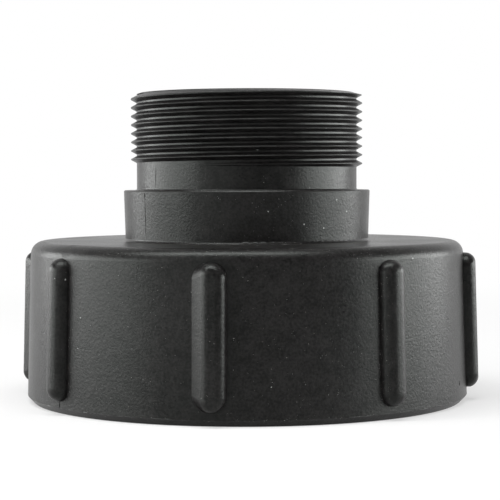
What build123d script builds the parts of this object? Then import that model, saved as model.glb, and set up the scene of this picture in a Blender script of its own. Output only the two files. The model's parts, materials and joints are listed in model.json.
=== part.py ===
"""Adapter for the outlet tap of an intermediate bulk container.

A coarse-threaded socket with eight grip ribs screws onto the container's valve. A collar
and a neck with a two-inch pipe thread stand on top of it. The axis is Z, the socket's
mouth lies on Z = 0 and the pipe thread points up. Azimuths are measured from -Y, the
front, towards +X.
"""

import os
from math import ceil, cos, radians, sin, tan

from build123d import *

# Socket: the wide ribbed body, drawn in towards the top by its mould draft
socket_height = 40.7
socket_top_radius = 55.45
socket_draft = 1.15
socket_top_rounding = 3.3
socket_foot_chamfer = 1.55
socket_ceiling = 5.2

# Socket bore: the coarse thread cut into the wall, the plain mouth below it and the gasket
# pocket above it
socket_wall = 5.15
mouth_length = 5.0
mouth_step = 0.9
mouth_chamfer = 0.8
coarse_height = 3.2
coarse_pitch = 8.0
coarse_crest_width = 2.3
coarse_bearing_flank = 3.0
coarse_lead_flank = 30.0
coarse_run_in = 1.0
coarse_run_out = 1.5
coarse_start_azimuth = 37.0
pocket_step = 3.3
pocket_spare_depth = 0.6

# Sealing gasket, a flat ring held in the pocket
gasket_thickness = 4.0
gasket_width = 8.35
gasket_side_clearance = 0.15

# Collar, slightly wider at its top
collar_height = 12.9
collar_step = 1.5
collar_flare = 0.4
collar_edge = 0.25
collar_foot_rounding = 0.6

# Neck and pipe thread
neck_height = 24.85
neck_wall = 3.83
neck_foot_rounding = 0.5
neck_chamfer = 0.7
bore_entry = 2.0
pipe_thread_radius = 29.8
pipe_thread_depth = 1.47
pipe_pitch = 25.4 / 11.5
pipe_flank = 27.5
pipe_crest_rounding = 0.22
pipe_plain_length = 6.01
pipe_start_azimuth = -32.0
pipe_run_out = 117.0
pipe_run_out_sections = 7
pipe_least_rise = 0.03
pipe_lead_in = 0.6

# Grip ribs: rounded bars on the socket's drafted wall
rib_count = 8
rib_height = 3.05
rib_half_width = 3.25
rib_foot_gap = 3.2
rib_head_gap = 3.1
rib_flank = 5.0
rib_crown_flat = 0.07
release_azimuth = 45.0
release_flank = 45.0
release_crease = 1.7
mould_azimuth = 37.0

# How far a rib or ridge starts inside the wall that carries it, and the most turns of a
# thread that are wound in one stretch
root_overlap = 0.6
pipe_root_overlap = 0.12
stretch_turns = 1.1

# Radii, from the outside inwards
socket_bottom_radius = socket_top_radius + socket_draft
coarse_major_radius = socket_top_radius - socket_wall
mouth_radius = coarse_major_radius + mouth_step
pocket_radius = coarse_major_radius - pocket_step
gasket_outer_radius = pocket_radius - gasket_side_clearance
collar_base_radius = pipe_thread_radius + collar_step
collar_top_radius = collar_base_radius + collar_flare
neck_radius = pipe_thread_radius - pipe_thread_depth
bore_radius = neck_radius - neck_wall

# Levels, and the length and spacing of the ribs
ceiling_level = socket_height - socket_ceiling
pocket_level = ceiling_level - gasket_thickness - pocket_spare_depth
ledge_level = socket_height + collar_height
top_level = ledge_level + neck_height
rib_length = socket_height - rib_foot_gap - rib_head_gap
rib_centre_height = rib_foot_gap + rib_length / 2
rib_spacing = 360 / rib_count


def wall_plane(azimuth, lift):
    """A plane lifted off the socket's drafted wall: x goes up it, y to lower azimuths."""
    draft = (socket_bottom_radius - socket_top_radius) / socket_height
    wall_radius = socket_bottom_radius - draft * rib_centre_height
    angle = radians(azimuth - 90)
    outward = Vector(cos(angle), sin(angle), draft).normalized()
    up_wall = Vector(-draft * cos(angle), -draft * sin(angle), 1).normalized()
    foot = Vector(wall_radius * cos(angle), wall_radius * sin(angle), rib_centre_height)
    return Plane(origin=foot + outward * lift, x_dir=up_wall, z_dir=outward)


def release_side(azimuth):
    """-1 or 1 where a rib's low-azimuth or high-azimuth flank is laid back, 0 where neither is.

    The two mould halves are drawn away along mould_azimuth and opposite it. A rib halfway
    between the draw and the parting line has its far flank laid back, so that it releases.
    """
    from_draw = (azimuth - mould_azimuth + 90) % 180 - 90
    if abs(abs(from_draw) - release_azimuth) > rib_spacing / 4:
        return 0
    return -1 if from_draw < 0 else 1


def rib_sides(azimuth, lift):
    """How far a rib reaches to lower and to higher azimuths at a height above the wall."""
    side = release_side(azimuth)
    plain_side = rib_half_width - lift * tan(radians(rib_flank))
    laid_back_side = release_crease + (rib_height - lift) * tan(radians(release_flank))
    return (
        laid_back_side if side < 0 else plain_side,
        laid_back_side if side > 0 else plain_side,
    )


def rib_section(azimuth, lift):
    """The stadium-shaped section of a rib at a height above the wall."""
    low_side, high_side = rib_sides(azimuth, lift)
    with BuildSketch(wall_plane(azimuth, lift)) as outline:
        with Locations((0, (low_side - high_side) / 2)):
            SlotOverall(rib_length - 2 * lift * tan(radians(rib_flank)), low_side + high_side)
    return outline.sketch


def rib_rounding(azimuth):
    """The rounding of a rib's crown, which leaves it next to no flat."""
    crown_width = sum(rib_sides(azimuth, rib_height))
    return min((crown_width - rib_crown_flat) / 2, rib_height - rib_crown_flat)


def grip_rib(azimuth):
    """A rib with a rounded crown, rooted inside the socket's wall."""
    with BuildPart() as rib:
        loft([rib_section(azimuth, -root_overlap), rib_section(azimuth, rib_height)])
        crown = wall_plane(azimuth, rib_height).origin
        fillet(faces().sort_by_distance(crown)[0].edges(), rib_rounding(azimuth))
    return rib.part


def radial_plane(azimuth):
    """The plane through the axis at an azimuth: x goes outwards and y up."""
    angle = radians(azimuth - 90)
    return Plane(
        origin=(0, 0, 0),
        x_dir=(cos(angle), sin(angle), 0),
        z_dir=(sin(angle), -cos(angle), 0),
    )


def section_corner(section, reach, level):
    """The corner of the turned section that lies at a radius and a level."""
    return section.vertices().sort_by_distance((reach, level, 0))[0]


def wound_ridge(outline, pitch, turns, radius):
    """A ridge wound up from Z = 0, starting at +X. Its outline is drawn on the XZ plane.

    The outline starts inside the wall, so that the ridge joins it all along.
    """
    with BuildPart() as ridge:
        with BuildLine() as path:
            Helix(pitch=pitch, height=pitch * turns, radius=radius)
        sweep(sections=outline, path=path.wires()[0], is_frenet=True)
    return ridge.part


# The pipe thread: a V ridge on the neck, with a rounded crest. It rises out of the neck over
# its run-out, where its lower root stays level and its upper root follows the helix. The full
# ridge is wound in stretches that join end to end, and its top is turned off.
pipe_crest_drop = pipe_crest_rounding * (1 - sin(radians(pipe_flank)))
pipe_crest_half_width = pipe_crest_rounding * cos(radians(pipe_flank))
pipe_root_radius = neck_radius - pipe_root_overlap
pipe_flank_depth = pipe_thread_radius - pipe_crest_drop - pipe_root_radius
pipe_half_width = pipe_crest_half_width + pipe_flank_depth * tan(radians(pipe_flank))
pipe_run_out_climb = pipe_pitch * pipe_run_out / 360
pipe_start_level = ledge_level + pipe_plain_length
pipe_full_level = pipe_start_level + pipe_run_out_climb


def pipe_section(azimuth, level, rise):
    """The ridge's section at an azimuth and a level, risen to a share of its full height."""
    middle = level + (1 - rise) * pipe_run_out_climb / 2
    narrowing = 1 - (1 - rise) * pipe_run_out_climb / 2 / pipe_half_width

    def corner(reach, height):
        risen_reach = pipe_root_radius + (reach - pipe_root_radius) * rise
        return (min(reach, risen_reach), middle + height * narrowing)

    crest_end = pipe_thread_radius - pipe_crest_drop
    lower_crest_end = corner(crest_end, -pipe_crest_half_width)
    upper_crest_end = corner(crest_end, pipe_crest_half_width)
    with BuildSketch(radial_plane(azimuth)) as outline:
        with BuildLine():
            ThreePointArc(lower_crest_end, corner(pipe_thread_radius, 0), upper_crest_end)
            Polyline(
                upper_crest_end,
                corner(pipe_root_radius, pipe_half_width),
                corner(pipe_root_radius - neck_chamfer, pipe_half_width),
                corner(pipe_root_radius - neck_chamfer, -pipe_half_width),
                corner(pipe_root_radius, -pipe_half_width),
                lower_crest_end,
            )
        make_face()
    return outline.sketch


run_out_sections = []
for section in range(pipe_run_out_sections):
    share = section / (pipe_run_out_sections - 1)
    section_azimuth = pipe_start_azimuth + share * pipe_run_out
    section_level = pipe_start_level + share * pipe_run_out_climb
    run_out_sections.append(
        pipe_section(section_azimuth, section_level, max(share, pipe_least_rise))
    )
with BuildPart() as pipe_run_out_ridge:
    loft(run_out_sections)

pipe_stretch = wound_ridge(pipe_section(90, 0, 1), pipe_pitch, stretch_turns, neck_radius)
stretch_rise = stretch_turns * pipe_pitch
stretch_count = ceil((top_level - pipe_lead_in - pipe_full_level) / stretch_rise)
above_top = top_level + stretch_rise + pipe_pitch
pipe_lengths = [pipe_run_out_ridge.part]
for stretch in range(stretch_count):
    turned = pipe_start_azimuth + pipe_run_out - 90 + stretch * stretch_turns * 360
    raised = pipe_full_level + stretch * stretch_rise
    pipe_lengths.append(pipe_stretch.rotate(Axis.Z, turned).translate((0, 0, raised)))

pipe_ridges = []
for length in pipe_lengths:
    with BuildPart() as pipe_ridge:
        add(length)
        with BuildSketch(Plane.XZ):
            with BuildLine():
                Polyline(
                    (pipe_thread_radius + pipe_pitch, top_level - pipe_lead_in),
                    (pipe_thread_radius, top_level - pipe_lead_in),
                    (neck_radius - neck_chamfer / 2, top_level - pipe_lead_in / 4),
                    (bore_radius, top_level - pipe_lead_in / 4),
                    (bore_radius, above_top),
                    (pipe_thread_radius + pipe_pitch, above_top),
                    close=True,
                )
            make_face()
        revolve(axis=Axis.Z, mode=Mode.SUBTRACT)
    pipe_ridges.append(pipe_ridge.part)


# The coarse thread: a buttress ridge wound up inside the socket, in equal stretches
coarse_crest_radius = coarse_major_radius - coarse_height
coarse_depth = coarse_height + root_overlap
coarse_below = coarse_crest_width / 2 + coarse_depth * tan(radians(coarse_lead_flank))
coarse_above = coarse_crest_width / 2 + coarse_depth * tan(radians(coarse_bearing_flank))
coarse_level = mouth_length + coarse_run_in + coarse_below
coarse_turns = (pocket_level - coarse_run_out - coarse_level) / coarse_pitch
coarse_count = ceil(coarse_turns / stretch_turns)
coarse_share = coarse_turns / coarse_count

with BuildSketch(Plane.XZ) as coarse_outline:
    with BuildLine():
        Polyline(
            (coarse_major_radius + root_overlap, -coarse_below),
            (coarse_crest_radius, -coarse_crest_width / 2),
            (coarse_crest_radius, coarse_crest_width / 2),
            (coarse_major_radius + root_overlap, coarse_above),
            close=True,
        )
    make_face()
coarse_stretch = wound_ridge(
    coarse_outline.sketch, coarse_pitch, coarse_share, coarse_major_radius
)
coarse_ridges = []
for stretch in range(coarse_count):
    turned = coarse_start_azimuth - 90 + stretch * coarse_share * 360
    raised = coarse_level + stretch * coarse_share * coarse_pitch
    coarse_ridges.append(coarse_stretch.rotate(Axis.Z, turned).translate((0, 0, raised)))


# The grip ribs, evenly spaced from the one that lies on the mould's draw
grip_ribs = [grip_rib(mould_azimuth + rib * rib_spacing) for rib in range(rib_count)]


# The moulded body: one turned section, with the ribs and both threads grown onto it
with BuildPart() as adapter_body:
    with BuildSketch(Plane.XZ) as section:
        with BuildLine():
            Polyline(
                (mouth_radius + mouth_chamfer, 0),
                (socket_bottom_radius, 0),
                (socket_top_radius, socket_height),
                (collar_base_radius, socket_height),
                (collar_top_radius, ledge_level),
                (neck_radius, ledge_level),
                (neck_radius, top_level - neck_chamfer),
                (neck_radius - neck_chamfer, top_level),
                (bore_radius, top_level),
                (bore_radius, ceiling_level + bore_entry),
                (bore_radius + bore_entry, ceiling_level),
                (pocket_radius, ceiling_level),
                (pocket_radius, pocket_level),
                (coarse_major_radius, pocket_level),
                (coarse_major_radius, mouth_length),
                (mouth_radius, mouth_length),
                (mouth_radius, mouth_chamfer),
                close=True,
            )
        make_face()
        chamfer(section_corner(section, socket_bottom_radius, 0), socket_foot_chamfer)
        fillet(section_corner(section, socket_top_radius, socket_height), socket_top_rounding)
        fillet(section_corner(section, collar_base_radius, socket_height), collar_foot_rounding)
        chamfer(section_corner(section, collar_top_radius, ledge_level), collar_edge)
        fillet(section_corner(section, neck_radius, ledge_level), neck_foot_rounding)
    revolve(axis=Axis.Z)

    for growth in grip_ribs + coarse_ridges + pipe_ridges:
        add(growth)


# The gasket lies flat against the ceiling of the pocket
with BuildPart() as sealing_gasket:
    with BuildSketch(Plane.XY.offset(ceiling_level)):
        Circle(gasket_outer_radius)
        Circle(gasket_outer_radius - gasket_width, mode=Mode.SUBTRACT)
    extrude(amount=-gasket_thickness)


os.makedirs("parts", exist_ok=True)
for name, piece in {
    "adapter_body": adapter_body,
    "sealing_gasket": sealing_gasket,
}.items():
    piece.part.label = name
    export_step(piece.part, f"parts/{name}.step")
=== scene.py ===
"""Looks, light and camera of the container tap adapter, laid out as a Blender add-on.

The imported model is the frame: metres, Z along the axis, -Y to the front. Its two nodes keep
their shapes and get moulded plastic and rubber. The fine marks of the mould are modelled
here, and so are the studio's backdrop, lamps and camera.
"""

import json
import math
import random

import bmesh
import bpy
from bpy.props import FloatProperty, FloatVectorProperty, IntProperty, PointerProperty
from bpy.types import Operator, Panel, PropertyGroup
from mathutils import Matrix, Quaternion, Vector, noise
from mathutils.bvhtree import BVHTree


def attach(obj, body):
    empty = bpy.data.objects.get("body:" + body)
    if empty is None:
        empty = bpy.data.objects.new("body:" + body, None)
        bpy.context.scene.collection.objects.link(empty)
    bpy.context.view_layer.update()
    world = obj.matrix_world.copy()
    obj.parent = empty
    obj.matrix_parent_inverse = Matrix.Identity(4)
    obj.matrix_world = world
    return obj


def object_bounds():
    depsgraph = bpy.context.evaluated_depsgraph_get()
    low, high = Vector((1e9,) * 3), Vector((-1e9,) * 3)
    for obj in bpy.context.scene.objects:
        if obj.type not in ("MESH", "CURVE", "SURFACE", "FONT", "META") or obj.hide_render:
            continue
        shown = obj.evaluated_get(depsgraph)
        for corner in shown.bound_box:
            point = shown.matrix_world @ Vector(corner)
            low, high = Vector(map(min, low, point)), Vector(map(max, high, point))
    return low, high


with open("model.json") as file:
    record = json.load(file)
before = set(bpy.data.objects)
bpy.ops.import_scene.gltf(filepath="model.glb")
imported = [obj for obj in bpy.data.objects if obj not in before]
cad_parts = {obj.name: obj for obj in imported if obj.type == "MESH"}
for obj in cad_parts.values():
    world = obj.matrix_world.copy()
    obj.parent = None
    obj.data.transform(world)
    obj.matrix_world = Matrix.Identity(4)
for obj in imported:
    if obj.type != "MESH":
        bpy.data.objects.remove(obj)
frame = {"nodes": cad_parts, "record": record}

bl_info = {
    "name": "Container tap adapter",
    "version": (1, 0, 0),
    "blender": (4, 5, 0),
    "location": "View3D > Sidebar > Adapter",
    "description": "Finishes, mould marks and studio for the container tap adapter",
    "category": "Object",
}

CAD_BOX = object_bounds()
BODY = "adapter_body"
GASKET = "sealing_gasket"
CARRIER = "root"


# Node trees

class Tree:
    """A node tree being filled: adds nodes, sets their sockets and links them."""

    def __init__(self, owner):
        owner.use_nodes = True
        self.tree = owner.node_tree
        self.tree.nodes.clear()

    def add(self, kind, values=None, **settings):
        """A node of a kind, with its settings, and its sockets set or linked."""
        node = self.tree.nodes.new(kind)
        for key, value in settings.items():
            setattr(node, key, value)
        for key, value in (values or {}).items():
            socket = node.inputs[key]
            if isinstance(value, bpy.types.NodeSocket):
                self.tree.links.new(value, socket)
            else:
                socket.default_value = value
        return node

    def math(self, operation, *values, clamp=False):
        """The result of a maths node."""
        node = self.add("ShaderNodeMath", dict(enumerate(values)), operation=operation)
        node.use_clamp = clamp
        return node.outputs[0]

    def noise(self, where, scale, detail=4.0, roughness=0.5):
        """A noise value, about 0.5 on average."""
        values = {"Vector": where, "Scale": scale, "Detail": detail, "Roughness": roughness}
        return self.add("ShaderNodeTexNoise", values).outputs["Fac"]

    def spread(self, value, low, high, to_low=0.0, to_high=1.0):
        """A value moved from one range to another and held within it."""
        values = {0: value, 1: low, 2: high, 3: to_low, 4: to_high}
        return self.add("ShaderNodeMapRange", values).outputs[0]

    def blend(self, share, first, second):
        """A colour between two others."""
        values = {"Factor": share, 6: first, 7: second}
        return self.add("ShaderNodeMix", values, data_type="RGBA").outputs[2]

    def output(self, shader, kind="ShaderNodeOutputMaterial"):
        """The tree's end."""
        self.add(kind, {"Surface": shader})


def dress(obj, material):
    """Puts a material on every slot of an object."""
    if not obj.data.materials:
        obj.data.materials.append(material)
    for slot in obj.material_slots:
        slot.material = material


# The body's surface, and small pieces that lie on it

def outwards(azimuth):
    """The level direction at an azimuth, measured from the front towards +X."""
    return Vector((math.sin(azimuth), -math.cos(azimuth), 0.0))


class Skin:
    """The moulded body's outside, found by rays that come in level or from above."""

    def __init__(self):
        mesh = frame["nodes"][BODY].data
        corners = [v.co.copy() for v in mesh.vertices]
        self.tree = BVHTree.FromPolygons(corners, [tuple(p.vertices) for p in mesh.polygons])
        self.reach = 2 * max(CAD_BOX[1])

    def beside(self, azimuth, level):
        """The point and outward normal at an azimuth and a level."""
        start = self.reach * outwards(azimuth) + Vector((0.0, 0.0, level))
        return self.met(start, -outwards(azimuth))

    def above(self, azimuth, radius):
        """The point and outward normal at an azimuth and a radius, met from above."""
        start = radius * outwards(azimuth) + Vector((0.0, 0.0, self.reach))
        return self.met(start, Vector((0.0, 0.0, -1.0)))

    def met(self, start, direction):
        """The point and normal where a ray first meets the body."""
        place, normal, _, _ = self.tree.ray_cast(start, direction)
        if place is None:
            raise RuntimeError(f"A ray from {tuple(start)} misses the body.")
        return place, normal


def add_piece(name, mesh, material):
    """Makes an object of a mesh, dressed in the given material and carried by the body."""
    piece = bpy.data.objects.new(name, mesh)
    bpy.context.collection.objects.link(piece)
    dress(piece, material)
    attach(piece, CARRIER)
    return piece


def add_bead(grid, line, width, height, closed=False):
    """Adds a low three-sided bead to a bmesh, along a line of (point, normal, sideways, swell).

    Its back lies under the surface. Swell is the share of the height at that point. An open
    line's ends are closed with faces, and a closed line has none.
    """
    rings = []
    for place, normal, sideways, swell in line:
        rings.append([
            grid.verts.new(place - normal * height - sideways * width / 2),
            grid.verts.new(place - normal * height + sideways * width / 2),
            grid.verts.new(place + normal * height * swell),
        ])
    for low, high in zip(rings, rings[1:] + (rings[:1] if closed else [])):
        for i in range(3):
            j = (i + 1) % 3
            grid.faces.new((low[i], low[j], high[j], high[i]))
    if not closed:
        grid.faces.new(rings[0][::-1])
        grid.faces.new(rings[-1])


def mesh_of(grid, name):
    """The finished mesh of a bmesh, with its faces turned outwards."""
    bmesh.ops.recalc_face_normals(grid, faces=grid.faces)
    mesh = bpy.data.meshes.new(name)
    grid.to_mesh(mesh)
    grid.free()
    return mesh


def plastic_material(name, colour, paler, settings, roughness):
    """Moulded plastic: cloudy colour, fine grain and a soft sheen."""
    material = bpy.data.materials.new(name)
    t = Tree(material)
    where = t.add("ShaderNodeTexCoord").outputs["Object"]
    patches = t.noise(where, 1 / settings.patch_size, 5.0, 0.6)
    clouds = t.noise(where, 1 / settings.cloud_size, 3.0)
    grain = t.noise(where, 1 / settings.grain_size, 3.0, 0.6)
    shade = t.math("MULTIPLY_ADD", clouds, 0.2, t.math("MULTIPLY", patches, 0.3))
    shade = t.math("MULTIPLY_ADD", grain, 0.5, shade)
    tone = t.blend(t.spread(shade, 0.42, 0.60), (*colour, 1.0), (*paler, 1.0))

    # Dust: a speck in some of the cells of a fine pattern
    cells = t.add("ShaderNodeTexVoronoi", {"Vector": where, "Scale": 1 / settings.dust_spacing})
    chosen = t.math("GREATER_THAN", cells.outputs["Color"], 1 - settings.dust_share)
    near = t.math(
        "LESS_THAN", cells.outputs["Distance"], t.spread(grain, 0.3, 0.7, 0.03, 0.10)
    )
    speck = t.math("MULTIPLY", chosen, near)
    tone = t.blend(speck, tone, (*settings.dust_colour, 1.0))

    shine = t.math("MULTIPLY_ADD", clouds, 0.5, t.math("MULTIPLY", grain, 0.5))
    sheen = t.spread(shine, 0.35, 0.65, roughness - 0.06, roughness + 0.06)
    height = t.math("MULTIPLY_ADD", patches, 0.6, grain)
    bump = t.add(
        "ShaderNodeBump",
        {"Height": height, "Strength": 1.0, "Distance": settings.grain_depth},
    )
    surface = t.add(
        "ShaderNodeBsdfPrincipled",
        {
            "Base Color": tone,
            "Roughness": sheen,
            "IOR": 1.49,
            "Specular IOR Level": settings.gloss,
            "Specular Tint": (*settings.gloss_tint, 1.0),
            "Normal": bump.outputs["Normal"],
        },
    )
    t.output(surface.outputs["BSDF"])
    return material


# Settings

class AdapterPlasticSettings(PropertyGroup):
    """The moulded body's plastic."""

    colour: FloatVectorProperty(
        name="Plastic colour",
        description="Dark grey of the moulded polypropylene",
        default=(0.0036, 0.0033, 0.0033),
        subtype="COLOR",
        min=0.0,
        max=1.0,
    )
    worn_colour: FloatVectorProperty(
        name="Paler patches",
        description="Grey of the paler patches that flow marks leave",
        default=(0.0140, 0.0130, 0.0130),
        subtype="COLOR",
        min=0.0,
        max=1.0,
    )
    dust_colour: FloatVectorProperty(
        name="Dust colour",
        description="Grey of the dust specks on the plastic",
        default=(0.30, 0.31, 0.30),
        subtype="COLOR",
        min=0.0,
        max=1.0,
    )
    cloud_size: FloatProperty(
        name="Cloud size",
        description="Width of the broad, faint clouds in the colour",
        default=0.022,
        min=0.001,
        unit="LENGTH",
    )
    patch_size: FloatProperty(
        name="Patch size",
        description="Width of the paler patches",
        default=0.003,
        min=0.0005,
        unit="LENGTH",
    )
    grain_size: FloatProperty(
        name="Grain size",
        description="Width of the grain that the mould leaves",
        default=0.0006,
        min=0.0001,
        unit="LENGTH",
    )
    grain_depth: FloatProperty(
        name="Grain depth",
        description="Depth of the grain",
        default=0.00006,
        min=0.0,
        unit="LENGTH",
    )
    roughness: FloatProperty(
        name="Roughness",
        description="Middle roughness of the plastic",
        default=0.33,
        min=0.0,
        max=1.0,
        subtype="FACTOR",
    )
    gloss: FloatProperty(
        name="Gloss",
        description="Strength of the plastic's mirror reflection",
        default=0.185,
        min=0.0,
        max=1.0,
        subtype="FACTOR",
    )
    gloss_tint: FloatVectorProperty(
        name="Gloss tint",
        description="Faint green of the plastic's sheen",
        default=(0.93, 1.0, 0.95),
        subtype="COLOR",
        min=0.0,
        max=1.0,
    )
    seam_colour: FloatVectorProperty(
        name="Seam colour",
        description="Grey of the mould's seams, where they are palest",
        default=(0.045, 0.048, 0.046),
        subtype="COLOR",
        min=0.0,
        max=1.0,
    )
    dust_spacing: FloatProperty(
        name="Dust spacing",
        description="Width of the cells that may hold a dust speck",
        default=0.0028,
        min=0.0005,
        unit="LENGTH",
    )
    dust_share: FloatProperty(
        name="Dust share",
        description="Share of those cells that hold one",
        default=0.16,
        min=0.0,
        max=1.0,
        subtype="FACTOR",
    )


class AdapterRubberSettings(PropertyGroup):
    """The sealing gasket's rubber."""

    colour: FloatVectorProperty(
        name="Rubber colour",
        description="Black of the gasket",
        default=(0.012, 0.012, 0.0125),
        subtype="COLOR",
        min=0.0,
        max=1.0,
    )
    roughness: FloatProperty(
        name="Roughness",
        description="Middle roughness of the rubber",
        default=0.62,
        min=0.0,
        max=1.0,
        subtype="FACTOR",
    )


class AdapterMarkSettings(PropertyGroup):
    """Marks of the mould: parting lines with their dark ticks, flash at the foot, and the painted
    shadow of a small pit.
    """

    parting_azimuth: FloatProperty(
        name="Parting azimuth",
        description="Where the mould halves met, from the front towards +X",
        default=math.radians(-53.0),
        subtype="ANGLE",
    )
    seam_width: FloatProperty(
        name="Seam width",
        description="Width of the parting line's raised seam",
        default=0.00032,
        min=0.00005,
        unit="LENGTH",
    )
    seam_height: FloatProperty(
        name="Seam height",
        description="Height of that seam",
        default=0.00009,
        min=0.00001,
        unit="LENGTH",
    )
    flash_level: FloatProperty(
        name="Flash level",
        description="Level of the flash that the mould leaves round the foot's edge",
        default=0.00157,
        min=0.0,
        unit="LENGTH",
    )
    flash_width: FloatProperty(
        name="Flash width",
        description="Width of that flash",
        default=0.00030,
        min=0.00005,
        unit="LENGTH",
    )
    # The pit is no hollow: dark blisters there paint its shadow
    pit_azimuth: FloatProperty(
        name="Pit azimuth",
        description="Where a small pit shows low on the socket's wall",
        default=math.radians(68.7),
        subtype="ANGLE",
    )
    pit_level: FloatProperty(
        name="Pit level",
        description="Level of that pit",
        default=0.0055,
        min=0.0,
        unit="LENGTH",
    )
    # Near black of the pit's painted shadow, also the colour of the dark ticks
    pit_shadow_and_tick_colour: FloatVectorProperty(
        name="Pit colour",
        description="Black of the pit and of the ticks at the parting line",
        default=(0.0015, 0.0015, 0.0015),
        subtype="COLOR",
        min=0.0,
        max=1.0,
    )


class AdapterDustSettings(PropertyGroup):
    """Dust that lies in the corners and on the walls."""

    colour: FloatVectorProperty(
        name="Dust colour",
        description="Pale grey of the loose dust",
        default=(0.34, 0.35, 0.34),
        subtype="COLOR",
        min=0.0,
        max=1.0,
    )
    smallest: FloatProperty(
        name="Smallest speck",
        description="Radius of the smallest speck",
        default=0.00005,
        min=0.00001,
        unit="LENGTH",
    )
    largest: FloatProperty(
        name="Largest speck",
        description="Radius of the largest speck",
        default=0.00010,
        min=0.00001,
        unit="LENGTH",
    )
    seed: IntProperty(
        name="Seed",
        description="Another number lays the specks in other places",
        default=7,
        min=0,
    )


class AdapterStudioSettings(PropertyGroup):
    """Floor, backdrop, lamps and camera."""

    floor_colour: FloatVectorProperty(
        name="Floor colour",
        description="Pale grey of the floor and the backdrop",
        default=(0.60, 0.60, 0.60),
        subtype="COLOR",
        min=0.0,
        max=1.0,
    )
    world_level: FloatProperty(
        name="Room light",
        description="Strength of the even light from all sides",
        default=0.10,
        min=0.0,
    )
    side_power: FloatProperty(
        name="Side lamps",
        description="Power of each side lamp",
        default=11.5,
        min=0.0,
        unit="POWER",
    )
    fill_power: FloatProperty(
        name="Fill lamp",
        description="Power of the weak lamp at the front left",
        default=1.8,
        min=0.0,
        unit="POWER",
    )
    top_power: FloatProperty(
        name="Top lamp",
        description="Power of the lamp overhead",
        default=16.0,
        min=0.0,
        unit="POWER",
    )
    lamp_distance: FloatProperty(
        name="Lamp distance",
        description="How far the side lamps stand from the adapter",
        default=0.85,
        min=0.2,
        unit="LENGTH",
    )
    camera_roll: FloatProperty(
        name="Camera roll",
        description="How far the camera is turned about its line of sight",
        default=math.radians(-0.18),
        subtype="ANGLE",
    )
    camera_distance: FloatProperty(
        name="Camera distance",
        description="Distance from the axis to the camera",
        default=0.4498,
        min=0.1,
        unit="LENGTH",
    )
    camera_height: FloatProperty(
        name="Camera height",
        description="Height of the camera above the floor",
        default=0.05738,
        min=0.0,
        unit="LENGTH",
    )
    camera_pitch: FloatProperty(
        name="Camera pitch",
        description="How far the camera looks down",
        default=math.radians(2.463),
        subtype="ANGLE",
    )
    camera_shift: FloatProperty(
        name="Camera shift",
        description="Sideways shift of the frame, as a share of its width",
        default=0.0061,
    )
    lens: FloatProperty(
        name="Lens",
        description="Focal length on a sensor 36 mm wide",
        default=125.2,
        min=10.0,
        unit="CAMERA",
    )


# Operators

class ADAPTER_OT_plastic(Operator):
    """Gives the moulded body its dark grey plastic"""

    bl_idname = "adapter.plastic"
    bl_label = "Moulded body"

    def execute(self, context):
        settings = context.scene.adapter_plastic
        material = plastic_material(
            "moulded_polypropylene",
            settings.colour,
            settings.worn_colour,
            settings,
            settings.roughness,
        )
        dress(frame["nodes"][BODY], material)
        return {"FINISHED"}


class ADAPTER_OT_rubber(Operator):
    """Gives the sealing gasket its black rubber"""

    bl_idname = "adapter.rubber"
    bl_label = "Sealing gasket"

    def execute(self, context):
        settings = context.scene.adapter_rubber
        material = bpy.data.materials.new("sealing_rubber")
        t = Tree(material)
        where = t.add("ShaderNodeTexCoord").outputs["Object"]
        smear = t.noise(where, 160.0, 4.0)
        grain = t.noise(where, 2600.0, 2.0)
        pale = tuple(1.9 * c for c in settings.colour)
        colour = t.blend(
            t.spread(smear, 0.42, 0.64), (*settings.colour, 1.0), (*pale, 1.0)
        )
        roughness = t.spread(
            smear, 0.3, 0.7, settings.roughness - 0.08, settings.roughness + 0.06
        )
        bump = t.add(
            "ShaderNodeBump", {"Height": grain, "Strength": 1.0, "Distance": 0.00002}
        )
        surface = t.add(
            "ShaderNodeBsdfPrincipled",
            {
                "Base Color": colour,
                "Roughness": roughness,
                "IOR": 1.5,
                "Specular IOR Level": 0.4,
                "Normal": bump.outputs["Normal"],
            },
        )
        t.output(surface.outputs["BSDF"])
        dress(frame["nodes"][GASKET], material)
        return {"FINISHED"}


# Where the shoulder's level is taken, and how far the parting seams keep from the edges
SHOULDER_RADIUS = 0.042
CLEAR_OF_SHOULDER = 0.0008
CLEAR_OF_COLLAR_EDGE = 0.0004
CLEAR_OF_LEDGE = 0.0007
CLEAR_OF_THREAD = 0.0002
SEAM_STEPS = 14

# The dark ticks: the foot's length, and how far below the ledge the collar's begins and ends
FOOT_TICK_LENGTH = 0.0016
COLLAR_TICK_REACH = (0.0018, 0.0005)

# The flash's segments, and the width of the patches in which it swells
FLASH_STEPS = 420
FLASH_PATCH = 1 / 420.0

# The two dark blisters that paint a pit's shadow: rise above the pit's level, and radius
PIT_BLISTERS = ((0.0, 0.00042), (0.0006, 0.00026))


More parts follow.
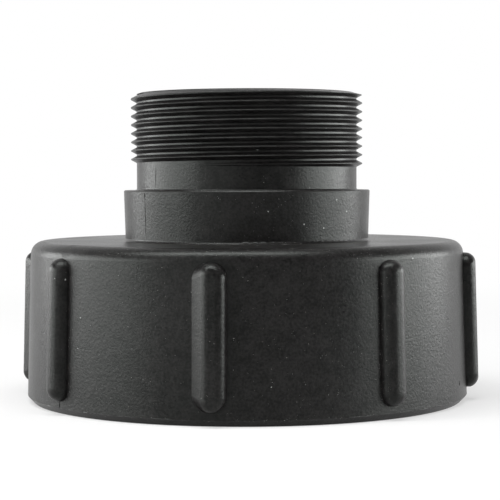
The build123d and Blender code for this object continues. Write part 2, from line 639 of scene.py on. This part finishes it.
class ADAPTER_OT_marks(Operator):
    """Models the parting lines and their dark ticks, the flash round the foot, and a painted shadow
    for a small pit
    """

    bl_idname = "adapter.marks"
    bl_label = "Mould marks"

    def execute(self, context):
        settings = context.scene.adapter_marks
        plastic = context.scene.adapter_plastic
        skin = Skin()
        mounts = {mount["name"]: mount for mount in frame["record"]["mounts"]}
        ledge = mounts["collar_ledge"]["pos_m"][2]
        thread = mounts["outlet_thread"]
        thread_start = thread["pos_m"][2] - thread["dims"]["length_mm"] / 2000
        shoulder = skin.above(settings.parting_azimuth, SHOULDER_RADIUS)[0].z
        if not shoulder < ledge < thread_start:
            raise RuntimeError("The collar, ledge and thread are out of order.")

        pale = plastic_material(
            "moulded_seam", plastic.worn_colour, plastic.seam_colour, plastic, plastic.roughness
        )
        # Near black: painted shade for the pit, and the colour of the dark ticks
        dark = self.pit_shadow_and_tick_material(settings)
        for name, azimuth in (
            ("parting_seam_front", settings.parting_azimuth),
            ("parting_seam_back", settings.parting_azimuth + math.pi),
        ):
            grid = bmesh.new()
            for low, high in (
                (shoulder + CLEAR_OF_SHOULDER, ledge - CLEAR_OF_COLLAR_EDGE),
                (ledge + CLEAR_OF_LEDGE, thread_start - CLEAR_OF_THREAD),
            ):
                self.seam(grid, skin, azimuth, low, high, settings.seam_width, settings.seam_height)
            add_piece(name, mesh_of(grid, name), pale)

            ticks = bmesh.new()
            foot = settings.flash_level
            self.seam(
                ticks, skin, azimuth, foot, foot + FOOT_TICK_LENGTH,
                2.2 * settings.seam_width, settings.seam_height,
            )
            low, high = (ledge - reach for reach in COLLAR_TICK_REACH)
            self.seam(
                ticks, skin, azimuth, low, high,
                1.2 * settings.seam_width, 1.2 * settings.seam_height,
            )
            tick_name = name.replace("seam", "ticks")
            add_piece(tick_name, mesh_of(ticks, tick_name), dark)

        grid = bmesh.new()
        self.flash(grid, skin, settings)
        add_piece("foot_flash", mesh_of(grid, "foot_flash"), pale)

        # Dark blisters that paint the shadow of a small pit in the wall
        grid = bmesh.new()
        for rise, radius in PIT_BLISTERS:
            self.pit(grid, skin, settings.pit_azimuth, settings.pit_level + rise, radius)
        add_piece("wall_pit", mesh_of(grid, "wall_pit"), dark)
        return {"FINISHED"}

    def seam(self, grid, skin, azimuth, low, high, width, height):
        """A bead up the wall from one level to another, lower towards its ends."""
        line = []
        for i in range(SEAM_STEPS + 1):
            share = i / SEAM_STEPS
            place, normal = skin.beside(azimuth, low + share * (high - low))
            sideways = normal.cross(Vector((0.0, 0.0, 1.0))).normalized()
            line.append((place, normal, sideways, 0.4 + 0.6 * math.sin(math.pi * share)))
        add_bead(grid, line, width, height)

    def flash(self, grid, skin, settings):
        """A low uneven ring along the edge where the foot's chamfer begins."""
        line = []
        for i in range(FLASH_STEPS):
            azimuth = 2 * math.pi * i / FLASH_STEPS
            place, _ = skin.beside(azimuth, settings.flash_level)
            normal = (outwards(azimuth) * 0.93 - Vector((0.0, 0.0, 0.37))).normalized()
            downwards = outwards(azimuth + math.pi / 2).cross(normal).normalized()
            swell = 1.6 * max(0.0, noise.noise(place / FLASH_PATCH)) - 0.35
            line.append((place, normal, downwards, swell))
        add_bead(grid, line, settings.flash_width, settings.flash_width / 4, closed=True)

    def pit(self, grid, skin, azimuth, level, radius):
        """A low dark blister that stands for a pit's shadow."""
        place, normal = skin.beside(azimuth, level)
        turn = normal.to_track_quat("Z", "Y").to_matrix().to_4x4()
        shape = Matrix.Translation(place) @ turn @ Matrix.Diagonal((0.8, 1.0, 0.12, 1.0))
        bmesh.ops.create_icosphere(grid, subdivisions=2, radius=radius, matrix=shape)

    def pit_shadow_and_tick_material(self, settings):
        """Near black, with no sheen: painted shade for the pit's shadow, and the colour of the dark
        ticks.
        """
        material = bpy.data.materials.new("pit_shadow")
        t = Tree(material)
        where = t.add("ShaderNodeTexCoord").outputs["Object"]
        dirt = t.noise(where, 4000.0, 2.0)
        colour = tuple(settings.pit_shadow_and_tick_colour)
        paler = tuple(3.0 * c for c in colour)
        surface = t.add(
            "ShaderNodeBsdfPrincipled",
            {
                "Base Color": t.blend(t.spread(dirt, 0.4, 0.7), (*colour, 1.0), (*paler, 1.0)),
                "Roughness": 0.9,
                "Specular IOR Level": 0.1,
            },
        )
        t.output(surface.outputs["BSDF"])
        return material


# Where dust lies: how it is met, its span of azimuths in degrees, its span of levels, or of
# radii where it is met from above, in metres, and how many specks
DUST_ZONES = (
    ("beside", (33.0, 34.6), (0.004, 0.034), 60),
    ("beside", (-49.6, -48.2), (0.004, 0.034), 30),
    ("beside", (-180.0, 180.0), (0.0012, 0.0019), 260),
    ("beside", (-180.0, 180.0), (0.002, 0.037), 1100),
    ("beside", (-180.0, 180.0), (0.0415, 0.0530), 240),
    ("beside", (-180.0, 180.0), (0.0538, 0.0592), 90),
    ("beside", (-180.0, 180.0), (0.0402, 0.0412), 420),
    ("above", (-180.0, 180.0), (0.0318, 0.0345), 500),
    ("above", (-180.0, 180.0), (0.0345, 0.0530), 500),
    ("above", (-180.0, 180.0), (0.0288, 0.0308), 180),
    ("above", (-60.0, 70.0), (0.0307, 0.0311), 150),
    ("above", (-180.0, 180.0), (0.0520, 0.0556), 700),
)


# How strongly the specks lean towards the small sizes
SMALL_SPECKS = 3


class ADAPTER_OT_dust(Operator):
    """Lays dust specks in the corners and on the walls"""

    bl_idname = "adapter.dust"
    bl_label = "Dust"

    def execute(self, context):
        settings = context.scene.adapter_dust
        rng = random.Random(settings.seed)
        skin = Skin()
        widest = min(CAD_BOX[1][:2])
        corners, faces = [], []
        for how, azimuths, reaches, count in DUST_ZONES:
            meet = getattr(skin, how)
            for _ in range(count):
                place, normal = meet(math.radians(rng.uniform(*azimuths)), rng.uniform(*reaches))
                size = settings.smallest + (settings.largest - settings.smallest) * (
                    rng.random() ** SMALL_SPECKS
                )
                if max(abs(place.x), abs(place.y)) + size > widest:
                    continue
                along = normal.orthogonal().normalized()
                along.rotate(Quaternion(normal, rng.uniform(0.0, math.pi)))
                across = normal.cross(along) * rng.uniform(0.5, 1.0)
                first = len(corners)
                for ray in (along, across, -along, -across, 0.6 * normal, -0.6 * normal):
                    corners.append(place + size * ray)
                for i in range(4):
                    j = (i + 1) % 4
                    faces.append((first + i, first + j, first + 4))
                    faces.append((first + j, first + i, first + 5))
        mesh = bpy.data.meshes.new("dust_specks")
        mesh.from_pydata(corners, [], faces)
        add_piece("dust_specks", mesh, self.dust_material(settings))
        return {"FINISHED"}

    def dust_material(self, settings):
        """Matt pale grey, some of it browner."""
        material = bpy.data.materials.new("loose_dust")
        t = Tree(material)
        where = t.add("ShaderNodeTexCoord").outputs["Object"]
        kind = t.noise(where, 900.0, 1.0)
        colour = tuple(settings.colour)
        darker = (0.5 * colour[0], 0.45 * colour[1], 0.4 * colour[2])
        surface = t.add(
            "ShaderNodeBsdfPrincipled",
            {
                "Base Color": t.blend(t.spread(kind, 0.35, 0.65), (*darker, 1.0), (*colour, 1.0)),
                "Roughness": 0.85,
                "Specular IOR Level": 0.3,
            },
        )
        t.output(surface.outputs["BSDF"])
        return material


# Lamps that stand round the adapter: name, azimuth in degrees, height, panel size in metres,
# and the setting that holds the power
LAMPS = (
    ("left_lamp", -91.0, 0.16, (1.28, 0.32), "side_power"),
    ("right_lamp", 92.0, 0.16, (0.98, 0.32), "side_power"),
    ("fill_lamp", -34.0, 0.35, (0.65, 0.8), "fill_power"),
)
LAMP_TARGET_LEVEL = 0.04
TOP_LAMP_PLACE = (-0.26, -0.22, 1.0)
TOP_LAMP_SIZE = (1.15, 0.36)


class ADAPTER_OT_stage(Operator):
    """Makes the floor and backdrop, the lamps, the room light and the camera"""

    bl_idname = "adapter.stage"
    bl_label = "Studio"

    def execute(self, context):
        settings = context.scene.adapter_studio
        backdrop = self.backdrop(settings)
        context.collection.objects.link(backdrop)

        world = context.scene.world or bpy.data.worlds.new("room")
        context.scene.world = world
        t = Tree(world)
        room = t.add(
            "ShaderNodeBackground",
            {"Color": (1.0, 1.0, 1.0, 1.0), "Strength": settings.world_level},
        )
        t.output(room.outputs[0], "ShaderNodeOutputWorld")

        target = Vector((0.0, 0.0, LAMP_TARGET_LEVEL))
        for name, azimuth, height, size, power in LAMPS:
            place = settings.lamp_distance * outwards(math.radians(azimuth))
            place.z = height
            self.lamp(context, name, place, target, size, getattr(settings, power))
        place = Vector(TOP_LAMP_PLACE)
        below = Vector((place.x, 0.0, target.z))
        self.lamp(context, "top_lamp", place, below, TOP_LAMP_SIZE, settings.top_power)
        self.camera(context, settings)
        context.scene.view_settings.view_transform = "Standard"
        return {"FINISHED"}

    def backdrop(self, settings):
        """One sheet: the floor, a wide bend and the wall behind."""
        half_width, front, bend_start, bend, top = 4.0, -4.0, 1.2, 0.8, 3.5
        line = [(front, 0.0), (bend_start, 0.0)]
        steps = 24
        for i in range(1, steps + 1):
            angle = math.pi / 2 * i / steps
            line.append((bend_start + bend * math.sin(angle), bend * (1 - math.cos(angle))))
        line.append((bend_start + bend, top))
        grid = bmesh.new()
        rows = [
            [grid.verts.new((x, y, z)) for x in (-half_width, half_width)] for y, z in line
        ]
        for low, high in zip(rows, rows[1:]):
            face = grid.faces.new((low[0], low[1], high[1], high[0]))
            face.smooth = True
        mesh = bpy.data.meshes.new("backdrop")
        grid.to_mesh(mesh)
        grid.free()
        backdrop = bpy.data.objects.new("backdrop", mesh)

        material = bpy.data.materials.new("backdrop_paper")
        t = Tree(material)
        where = t.add("ShaderNodeTexCoord").outputs["Object"]
        fibre = t.noise(where, 500.0, 3.0)
        colour = tuple(settings.floor_colour)
        paler = tuple(min(1.0, 1.02 * c) for c in colour)
        paper = t.add(
            "ShaderNodeBsdfDiffuse",
            {"Color": t.blend(t.spread(fibre, 0.3, 0.7), (*colour, 1.0), (*paler, 1.0))},
        )
        white = t.add("ShaderNodeEmission", {"Color": (1.0, 1.0, 1.0, 1.0), "Strength": 1.0})
        path = t.add("ShaderNodeLightPath").outputs
        seen = t.math("MAXIMUM", path["Is Camera Ray"], path["Is Glossy Ray"])
        seen = t.math("MAXIMUM", seen, path["Is Transmission Ray"])
        distance = t.add("ShaderNodeVectorMath", {0: where}, operation="LENGTH").outputs["Value"]
        far = t.add(
            "ShaderNodeMapRange",
            {0: distance, 1: 0.06, 2: 0.5, 3: 0.5, 4: 1.0},
            interpolation_type="SMOOTHSTEP",
        ).outputs[0]
        shader = t.add(
            "ShaderNodeMixShader",
            {0: t.math("MULTIPLY", seen, far), 1: paper.outputs[0], 2: white.outputs[0]},
        )
        t.output(shader.outputs[0])
        dress(backdrop, material)
        return backdrop

    def lamp(self, context, name, place, target, size, power):
        """A rectangular lamp that faces the target."""
        data = bpy.data.lights.new(name, "AREA")
        data.shape = "RECTANGLE"
        data.size, data.size_y = size
        data.energy = power
        lamp = bpy.data.objects.new(name, data)
        context.collection.objects.link(lamp)
        lamp.visible_camera = False
        lamp.location = place
        lamp.rotation_euler = (target - lamp.location).to_track_quat("-Z", "Y").to_euler()

    def camera(self, context, settings):
        """The camera, level with the neck and looking slightly down."""
        data = bpy.data.cameras.new("camera")
        data.sensor_width = 36.0
        data.lens = settings.lens
        data.shift_x = settings.camera_shift
        camera = bpy.data.objects.new("camera", data)
        context.collection.objects.link(camera)
        camera.location = (0.0, -settings.camera_distance, settings.camera_height)
        aim = Matrix.Rotation(math.pi / 2 - settings.camera_pitch, 3, "X")
        roll = Matrix.Rotation(settings.camera_roll, 3, "Z")
        camera.rotation_euler = (aim @ roll).to_euler()
        context.scene.camera = camera


class ADAPTER_PT_panel(Panel):
    """Lists the adapter's finishes and pieces"""

    bl_idname = "ADAPTER_PT_panel"
    bl_label = "Container tap adapter"
    bl_space_type = "VIEW_3D"
    bl_region_type = "UI"
    bl_category = "Adapter"

    def draw(self, context):
        layout = self.layout
        for operator, group in STEPS:
            box = layout.box()
            box.operator(operator.bl_idname)
            if group:
                settings = getattr(context.scene, group)
                for name in settings.__annotations__:
                    box.prop(settings, name)


STEPS = (
    (ADAPTER_OT_plastic, "adapter_plastic"),
    (ADAPTER_OT_rubber, "adapter_rubber"),
    (ADAPTER_OT_marks, "adapter_marks"),
    (ADAPTER_OT_dust, "adapter_dust"),
    (ADAPTER_OT_stage, "adapter_studio"),
)
GROUPS = {
    "adapter_plastic": AdapterPlasticSettings,
    "adapter_rubber": AdapterRubberSettings,
    "adapter_marks": AdapterMarkSettings,
    "adapter_dust": AdapterDustSettings,
    "adapter_studio": AdapterStudioSettings,
}


def register():
    for group in GROUPS.values():
        bpy.utils.register_class(group)
    for operator, _ in STEPS:
        bpy.utils.register_class(operator)
    bpy.utils.register_class(ADAPTER_PT_panel)
    for name, group in GROUPS.items():
        setattr(bpy.types.Scene, name, PointerProperty(type=group))


def unregister():
    for name in GROUPS:
        delattr(bpy.types.Scene, name)
    bpy.utils.unregister_class(ADAPTER_PT_panel)
    for operator, _ in reversed(STEPS):
        bpy.utils.unregister_class(operator)
    for group in reversed(GROUPS.values()):
        bpy.utils.unregister_class(group)


def main():
    register()
    bpy.ops.adapter.plastic()
    bpy.ops.adapter.rubber()
    bpy.ops.adapter.marks()
    bpy.ops.adapter.dust()
    bpy.ops.adapter.stage()


if __name__ == "__main__":
    main()
